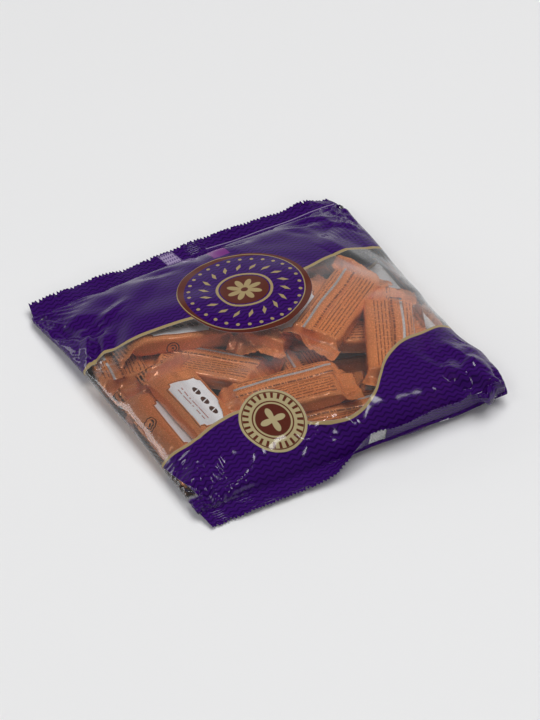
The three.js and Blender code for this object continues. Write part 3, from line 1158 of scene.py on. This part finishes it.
def sweetForm(finBends, seed):
    # points round the wrapper in rows along it, in the sweet's own axes, label side up
    rng = np.random.default_rng(seed)
    s = sweet
    halfBody = s["bodyLength"] / 2
    neckEnd = s["length"] / 2 - s["finLength"]
    girth = 2 * s["finWidth"]
    stations = sweetStations()
    x = stations[:, None] + np.zeros(s["around"])
    side, distance = np.sign(x), np.abs(x)
    flat = smoothstep(distance, halfBody - 1.5, neckEnd)  # 0 on the bar, 1 in the fin
    halfWidth = lerp(s["width"] / 2, s["finWidth"] / 2, flat**1.3)
    halfHeight = lerp(s["height"] / 2, s["finHalfHeight"], flat**0.8)
    squareness = lerp(s["squareness"], 2, flat)
    sections = [evenRound(*part) for part in zip(halfWidth[:, 0], halfHeight[:, 0], squareness[:, 0])]
    y, z = np.array(sections).transpose(1, 0, 2)
    around = np.arange(s["around"]) / s["around"] * girth
    around = np.where(around > girth / 2, around - girth, around)[None, :] + 0 * x
    # the wrapper is creased at its ends, where it gathers, and a little all over
    ends = np.exp(-(((distance - halfBody - 1) / 5) ** 2))
    creased = 0 * x
    for index, (onBar, atEnds, cell) in enumerate(wrapperCreases):
        creased = creased + (onBar + atEnds * ends) * facetsAt(x, around + 60, cell, seed + index)
    outY = np.sign(y) * np.abs(y / halfWidth) ** 3
    outZ = np.sign(z) * np.abs(z / halfHeight) ** 3
    out = np.stack([0 * x, outY, outZ], -1)
    out /= np.linalg.norm(out, axis=-1, keepdims=True) + 1e-6
    points = np.stack([x, y, z], -1) + out * (creased * (1 - 0.6 * flat))[..., None]
    # both plies of a fin wave together
    waves = 0 * x
    for index, (height, cell) in enumerate(finWaves):
        waves = waves + facetsAt(points[..., 1] + 40 * side, distance, cell, seed + 2 + index) * height
    points[..., 2] += waves * flat
    ribs = smoothstep(distance, neckEnd + 0.4, neckEnd + 1.2)
    points[..., 2] += s["ribHeight"] * ribs * np.sin(2 * math.pi * distance / s["ribGap"])
    tooth = np.abs(((points[..., 1] / s["finWidth"] * s["teeth"]) % 1) - 0.5) * 2
    edge = s["length"] / 2
    points[..., 0] -= side * s["toothDepth"] * tooth * smoothstep(distance, edge - 2, edge)
    # each fin is bent at its root, more at one corner than at the other
    for end, bend in zip((-1, 1), finBends):
        reach = np.maximum(end * points[..., 0] - (halfBody + 1), 0)
        curl = rng.normal(0, s["curl"]) * points[..., 1] + s["flutter"] * np.sin(points[..., 1] / 5 + seed)
        angle = np.radians(bend + curl) * smoothstep(reach, 0, 9)
        points[..., 0] -= end * reach * (1 - np.cos(angle))
        points[..., 2] += reach * np.sin(angle)
    return points, around, flat


def sweetSeam(base):
    # the lengthwise seam, folded flat on the back
    rows, width = sweet["seamRows"], sweet["seamWidth"]
    reach = sweet["bodyLength"] / 2 + 0.5
    profile = [(-0.3, 0.0), (-width, 0.35), (-width, 0.75), (-0.3, 0.3)]
    points, faces, uv = [], [], []
    for j in range(rows + 1):
        x = lerp(-reach, reach, j / rows)
        wander = 0.35 * math.sin(x / 6 + base)
        drop = 0.5 * smoothstep(abs(x), reach - 4, reach)
        points += [(x, y + wander, drop - sweet["height"] / 2 - z) for y, z in profile]
    for j in range(rows):
        low, high = lerp(-reach, reach, j / rows), lerp(-reach, reach, (j + 1) / rows)
        for k in range(4):
            m = (k + 1) % 4
            faces.append((j * 4 + k, j * 4 + m, (j + 1) * 4 + m, (j + 1) * 4 + k))
            a, b = (44 - 4 * profile[n][0] / width for n in (k, m))
            uv += [(low, a), (low, b), (high, b), (high, a)]
    for corners in ([0, 3, 2, 1], [rows * 4 + k for k in range(4)]):
        faces.append(tuple(corners))
        uv += [(0, 42)] * 4
    return points, [tuple(base + k for k in face) for face in faces], uv


def makeSweet(name, index, centres, turns, room):
    s = sweet
    *_, finBends, slip = sweetPlaces[name]
    points, around, flat = sweetForm(finBends, index + 1)
    rows, n = points.shape[:2]
    placed = points @ turns[index].T + centres[index]
    # a fin that would enter a neighbour is laid over or under it
    for other in range(len(centres)):
        if other == index or np.linalg.norm(centres[other] - centres[index]) > s["length"]:
            continue
        local = (placed - centres[other]) @ turns[other]
        own = (centres[index] - centres[other]) @ turns[other]
        alongShare = local[..., 0] / (s["bodyLength"] / 2 + packing["neighbour"])
        acrossShare = local[..., 1] / (s["width"] / 2 + packing["neighbour"])
        plan = alongShare ** 4 + acrossShare ** 4
        depth = (s["height"] / 2 + packing["neighbourHeight"]) * np.maximum(1 - plan, 0) ** 0.25
        inside = (flat > 0.05) & (np.abs(local[..., 2]) < depth)
        local[..., 2] = np.where(inside, math.copysign(1, own[2]) * depth, local[..., 2])
        placed = np.where(inside[..., None], local @ turns[other].T + centres[other], placed)
    faces, uv = [], []
    stations = sweetStations()
    step = 2 * s["finWidth"] / n
    for j in range(rows - 1):
        for k in range(n):
            m = (k + 1) % n
            faces.append((j * n + k, j * n + m, (j + 1) * n + m, (j + 1) * n + k))
            a = around[0, k] + slip
            low, high = stations[j], stations[j + 1]
            uv += [(low, a), (low, a + step), (high, a + step), (high, a)]
    faces.append(tuple(reversed(range(n))))
    uv += [(stations[0], 0)] * n
    faces.append(tuple((rows - 1) * n + k for k in range(n)))
    uv += [(stations[-1], 0)] * n
    seam, seamFaces, seamUv = sweetSeam(rows * n)
    allPoints = np.concatenate([placed.reshape(-1, 3), np.array(seam) @ turns[index].T + centres[index]])
    kept = room.keep(allPoints, packing["skin"], packing["sideSkin"])
    return addMesh("sweet." + name, kept, faces + seamFaces, uv + seamUv)


wrapperInk = {
    "base": (0.84, 0.305, 0.105),
    "label": (0.84, 0.87, 0.90),
    "dark": (0.05, 0.02, 0.012),
    "text": (0.13, 0.04, 0.018),
    "red": (0.36, 0.07, 0.03),
    "white": (0.78, 0.76, 0.75),
}
labelForm = {"halfLength": 18.5, "halfWidth": 10.6, "notch": 2.6, "frame": (0.75, 0.45)}
beans = {
    "gap": 8.5,
    "around": 3.2,
    "reach": 12.5,
    "radius": 3.3,
    "squeeze": 1.7,
    "slit": 0.35,
    "slant": 0.5,
}
labelRows = {"rowGap": 2.4, "cell": 1.3, "sparse": 0.25, "low": -7.6, "high": -1.6, "reach": 13.5}
stamp = {"x": -5.5, "around": 19.5, "radius": 4.6, "ringGap": 1.55, "twist": 0.9, "eye": 0.7}
backRows = {"rowGap": 2.0, "cell": 0.7, "sparse": 0.2, "high": 12.5, "low": 0.2, "reach": 25.5}
flapRows = {"rowGap": 2.0, "cell": 0.7, "sparse": 0.25, "end": 46.6, "whiteFrom": 47.3}
dash = {"halfHeight": 0.14, "halfLength": 0.42, "soft": 0.08}


def dashRows(tree, x, y, form, seed):
    # rows of thin dashes of uneven length, too plain to be words
    rowPlace, cellPlace = y / form["rowGap"], x / form["cell"]
    noise = tree.nodes.new("ShaderNodeTexWhiteNoise")
    noise.noise_dimensions = "3D"
    pair = tree.nodes.new("ShaderNodeCombineXYZ")
    tree.links.new(cellPlace.op("FLOOR").socket, pair.inputs[0])
    tree.links.new(rowPlace.op("FLOOR").socket, pair.inputs[1])
    pair.inputs[2].default_value = seed
    tree.links.new(pair.outputs[0], noise.inputs["Vector"])
    chosen = Field(tree, noise.outputs["Value"]).above(form["sparse"], 0.02)
    inRow = (rowPlace.op("FRACT") - 0.5).size().below(dash["halfHeight"], dash["soft"])
    inCell = (cellPlace.op("FRACT") - 0.5).size().below(dash["halfLength"], dash["soft"])
    return chosen & inRow & inCell


def layLabel(tree, x, around):
    # a rounded plate with its corners cut in, a thin frame, three beans and rows of small dashes
    long, wide = x.size() - labelForm["halfLength"], around.size() - labelForm["halfWidth"]
    edge, corner, notch = long | wide, long.hypot(wide), labelForm["notch"]
    label = edge.below(0.0, 0.12) & corner.above(notch, 0.12)
    colour = wrapperInk["base"]
    for reach, ink in zip(labelForm["frame"], ("dark", "base")):
        plate = edge.below(reach, 0.1) & corner.above(notch - reach, 0.1)
        colour = layColour(tree, colour, wrapperInk[ink], plate)
    colour = layColour(tree, colour, wrapperInk["label"], label)
    beanX = ((x / beans["gap"] + 0.5).op("FRACT") - 0.5) * beans["gap"]
    beanY = around - beans["around"]
    ovals = beanX.hypot(beanY * beans["squeeze"]).below(beans["radius"]) & x.size().below(beans["reach"])
    slits = (beanX - beanY * beans["slant"]).size().above(beans["slit"], 0.12)
    colour = layColour(tree, colour, wrapperInk["dark"], ovals & slits & label)
    small = dashRows(tree, x, around, labelRows, 3.0) & x.size().below(labelRows["reach"])
    small = small & around.below(labelRows["high"]) & around.above(labelRows["low"])
    return layColour(tree, colour, wrapperInk["red"], small & label), label


def makeWrapperPrint():
    tree, sink = newGroup("wrapperPrint", [("Colour", "NodeSocketColor"), ("Foil", "NodeSocketFloat")])
    x, around = uvFields(tree)
    half = sweet["finWidth"]
    colour, label = layLabel(tree, x, around)

    # a round stamp of broken rings on one side
    stampX, stampY = x - stamp["x"], around - stamp["around"]
    ringAt = stampX.hypot(stampY)
    turn = stampY.op("ARCTAN2", stampX)
    broken = (turn + ringAt * stamp["twist"]).wave(2 * math.pi).above(-0.55, 0.1)
    rings = (ringAt.wave(stamp["ringGap"]).above(0.25, 0.3) & broken) | ringAt.below(stamp["eye"])
    colour = layColour(tree, colour, wrapperInk["dark"], rings & ringAt.below(stamp["radius"]))

    # rows of dashes on the back, and on the folded seam with its white edge
    fromMiddle = around.size()
    back = fromMiddle.above(half - backRows["high"]) & fromMiddle.below(half - backRows["low"])
    text = dashRows(tree, x, around, backRows, 1.0) & back & x.size().below(backRows["reach"])
    colour = layColour(tree, colour, wrapperInk["text"], text)
    flap = around.above(half + 1)
    colour = layColour(tree, colour, wrapperInk["base"], flap)
    text = dashRows(tree, x, around, flapRows, 2.0) & flap & around.below(flapRows["end"])
    colour = layColour(tree, colour, wrapperInk["text"], text)
    colour = layColour(tree, colour, wrapperInk["white"], around.above(flapRows["whiteFrom"]))
    tree.links.new(colour, sink.inputs[0])
    tree.links.new((label * -1.0 + 1.0).socket, sink.inputs[1])
    return tree


wrapperLook = {
    "roughness": 0.27,
    "metal": 0.28,
    "grain": 0.06,
    "grainScale": 90,
    "coat": 0.6,
    "coatRoughness": 0.1,
}


def makeWrapperMaterial(printTree):
    material = bpy.data.materials.new("wrapper")
    material.use_nodes = True
    tree = material.node_tree
    body = tree.nodes["Principled BSDF"]
    inks = tree.nodes.new("ShaderNodeGroup")
    inks.node_tree = printTree
    tree.links.new(inks.outputs["Colour"], body.inputs["Base Color"])
    foil = Field(tree, inks.outputs["Foil"]) * wrapperLook["metal"]
    tree.links.new(foil.socket, body.inputs["Metallic"])
    grain = tree.nodes.new("ShaderNodeTexNoise")
    grain.inputs["Scale"].default_value = wrapperLook["grainScale"]
    lowest = wrapperLook["roughness"] - wrapperLook["grain"] / 2
    rough = Field(tree, grain.outputs[0]) * wrapperLook["grain"] + lowest
    tree.links.new(rough.socket, body.inputs["Roughness"])
    body.inputs["Coat Weight"].default_value = wrapperLook["coat"]
    body.inputs["Coat Roughness"].default_value = wrapperLook["coatRoughness"]
    return material


floorLook = {"halfSize": 4, "colour": (0.86, 0.86, 0.865), "roughness": 0.9, "specular": 0.1}


def makeFloor():
    size = floorLook["halfSize"]
    mesh = bpy.data.meshes.new("floor")
    corners = [(-size, -size, 0), (size, -size, 0), (size, size, 0), (-size, size, 0)]
    mesh.from_pydata(corners, [], [(0, 1, 2, 3)])
    floor = bpy.data.objects.new("floor", mesh)
    bpy.context.collection.objects.link(floor)
    material = bpy.data.materials.new("floor")
    material.use_nodes = True
    body = material.node_tree.nodes["Principled BSDF"]
    body.inputs["Base Color"].default_value = (*floorLook["colour"], 1)
    body.inputs["Roughness"].default_value = floorLook["roughness"]
    body.inputs["Specular IOR Level"].default_value = floorLook["specular"]
    mesh.materials.append(material)


view = {
    "azimuth": -29.6,
    "elevation": 45,
    "distance": 2.0,
    "focalPixels": 3560,
    "pictureHeight": 720,
    "target": (-0.00144, -0.00368, 0.0145),
    "shift": (1.2, 14),  # pixels by which the bag is moved left and up in the picture
}


def viewDirection():
    a, e = math.radians(view["azimuth"]), math.radians(view["elevation"])
    return Vector((-math.sin(a) * math.cos(e), math.cos(a) * math.cos(e), -math.sin(e)))


def makeCamera():
    data = bpy.data.cameras.new("camera")
    camera = bpy.data.objects.new("camera", data)
    bpy.context.collection.objects.link(camera)
    forward = viewDirection()
    right = forward.cross(Vector((0, 0, 1))).normalized()
    up = right.cross(forward)
    data.lens = view["focalPixels"] / view["pictureHeight"] * data.sensor_width
    pixel = view["distance"] / view["focalPixels"]
    shiftLeft, shiftUp = view["shift"]
    aim = Vector(view["target"]) - up * shiftUp * pixel + right * shiftLeft * pixel
    camera.location = aim - forward * view["distance"]
    camera.rotation_euler = forward.to_track_quat("-Z", "Y").to_euler()
    bpy.context.scene.camera = camera


def addLight(name, place, size, power):
    data = bpy.data.lights.new(name, "AREA")
    data.shape = "RECTANGLE"
    data.size, data.size_y = size
    data.energy = power
    light = bpy.data.objects.new(name, data)
    light.location = place
    light.rotation_euler = (-place).to_track_quat("-Z", "Y").to_euler()
    bpy.context.collection.objects.link(light)
    return light


studio = {
    "backdrop": 0.66,  # the paper behind the bag, brightest low down
    "backdropTop": 0.76,  # sine of the elevation where it has gone dark
    "backdropTurn": -32,  # of its middle from the view's own direction
    "backdropEdge": (0.2, 0.15),  # how far round it reaches, and how softly it ends
    "room": 0.05,  # the rest all round
    "boxes": [  # elevation, turn from the view's own direction, distance, width, height, power, in gloss
        ("top", 72, 40, 3, 2.4, 2.4, 68, False),
        ("fill", 35, 190, 2.6, 2.0, 1.4, 10, False),
        ("side", 14, -82, 1.9, 1.0, 0.4, 4, True),
        ("left-glint", 52, -125, 1.6, 0.3, 0.45, 2.4, True),
        ("right-glint", 50, 100, 1.6, 0.12, 0.12, 0.34, True),
        ("near-glint", 62, 124, 1.6, 0.2, 0.16, 1.1, True),
        ("low-glint", 27, 150, 1.6, 0.3, 0.16, 1.2, True),
    ],
}


def makeLight():
    forward = viewDirection()
    back = math.atan2(forward.y, forward.x)
    for name, elevation, turn, distance, width, height, power, inGloss in studio["boxes"]:
        e, a = math.radians(elevation), back - math.radians(turn)
        aside, ahead = distance * math.cos(e) * math.cos(a), distance * math.cos(e) * math.sin(a)
        place = Vector((aside, ahead, distance * math.sin(e)))
        addLight(name, place, (width, height), power).visible_glossy = inGloss
    world = bpy.data.worlds.new("world")
    bpy.context.scene.world = world
    world.use_nodes = True
    tree = world.node_tree
    place = tree.nodes.new("ShaderNodeTexCoord")
    parts = tree.nodes.new("ShaderNodeSeparateXYZ")
    tree.links.new(place.outputs["Generated"], parts.inputs[0])
    turn = back - math.radians(studio["backdropTurn"])
    facing = Field(tree, parts.outputs[0]) * math.cos(turn) + Field(tree, parts.outputs[1]) * math.sin(turn)
    lowness = (Field(tree, parts.outputs[2]) * (-1 / studio["backdropTop"]) + 1.0).op("MINIMUM", 1.0)
    paper = lowness & facing.above(*studio["backdropEdge"])
    bright = (paper * studio["backdrop"]) | studio["room"]
    tree.links.new(bright.socket, tree.nodes["Background"].inputs["Strength"])
    tree.nodes["Background"].inputs["Color"].default_value = (1, 1, 1, 1)
    bpy.context.scene.view_settings.view_transform = "Standard"


def dress(piece, material):
    piece.data.materials.append(material)
    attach(piece, "root")
    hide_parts("bag")


makeCamera()
makeLight()
makeFloor()
filmMaterial = makeFilmMaterial(makeBagPrint())
wrapperMaterial = makeWrapperMaterial(makeWrapperPrint())
settled = settledFilm()
room = Room(settled, 2 * film["columns"])
filmPiece = makeFilm(settled)
print("stage: film settled")
filmParts = [
    filmPiece,
    makeSeal("film.far-seal", 1, farAngle, 3),
    makeSeal("film.near-seal", 0, nearAngle, 5),
    makeBackSeam(),
]
for part in filmParts:
    dress(part, filmMaterial)
print("stage: seals made")
centres, turns = packSweets(room)
for index, name in enumerate(sweetPlaces):
    dress(makeSweet(name, index, centres, turns, room), wrapperMaterial)
print("stage: sweets placed")
